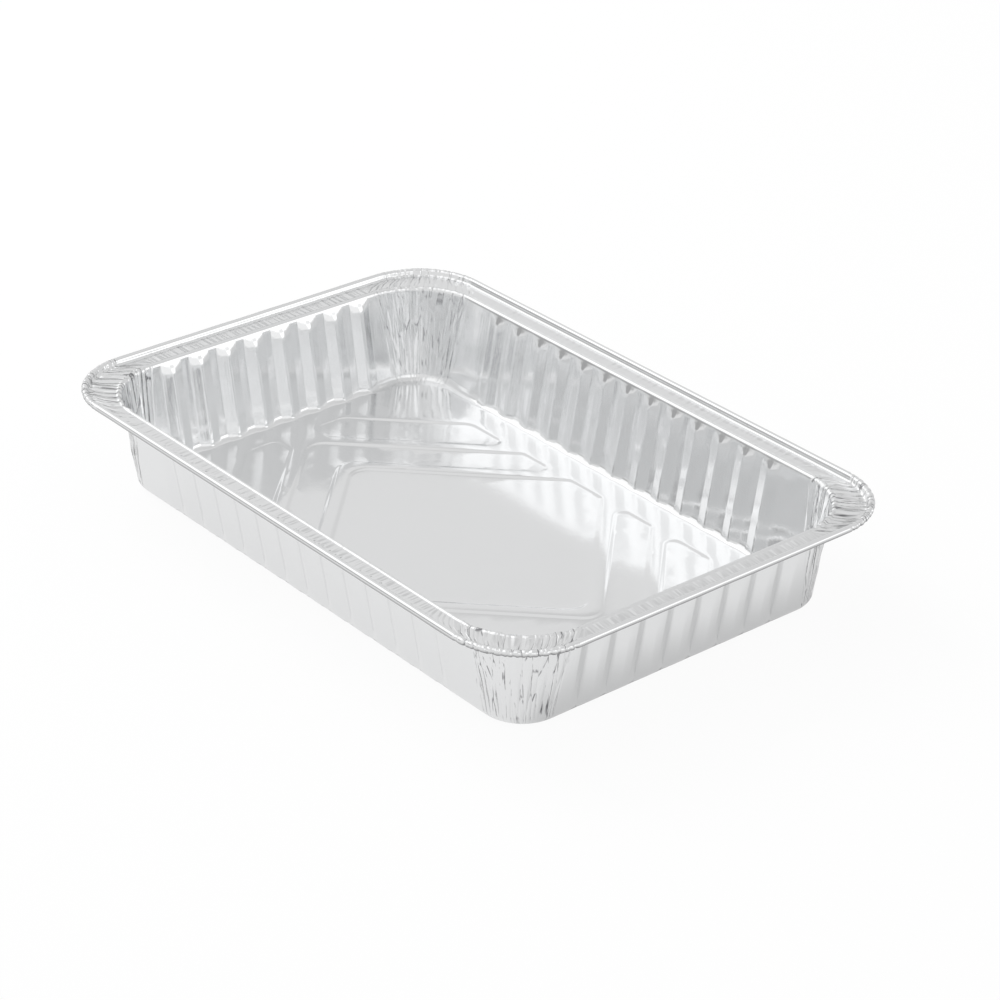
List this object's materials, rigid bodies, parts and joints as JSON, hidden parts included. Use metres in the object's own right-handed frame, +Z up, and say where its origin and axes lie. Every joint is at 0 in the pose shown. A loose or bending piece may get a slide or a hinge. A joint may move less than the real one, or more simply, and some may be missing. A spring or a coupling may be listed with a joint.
{
  "type": "foil roasting pan",
  "caption": "Shallow rectangular pan pressed from one sheet of aluminium foil, with ribbed walls, folded corners, a flange with a rolled bead, and diagonal panels pressed into the floor",
  "frame": {"origin": "middle of the footprint, on the table", "axes": "+X along the pan's length, +Y along its width, +Z up"},
  "size_m": [0.33, 0.224, 0.051],
  "materials": {
    "foil": "bright pressed foil with fine wrinkles"
  },
  "bodies": {
    "root": {"foil_pan": "foil"}
  },
  "joints": []
}
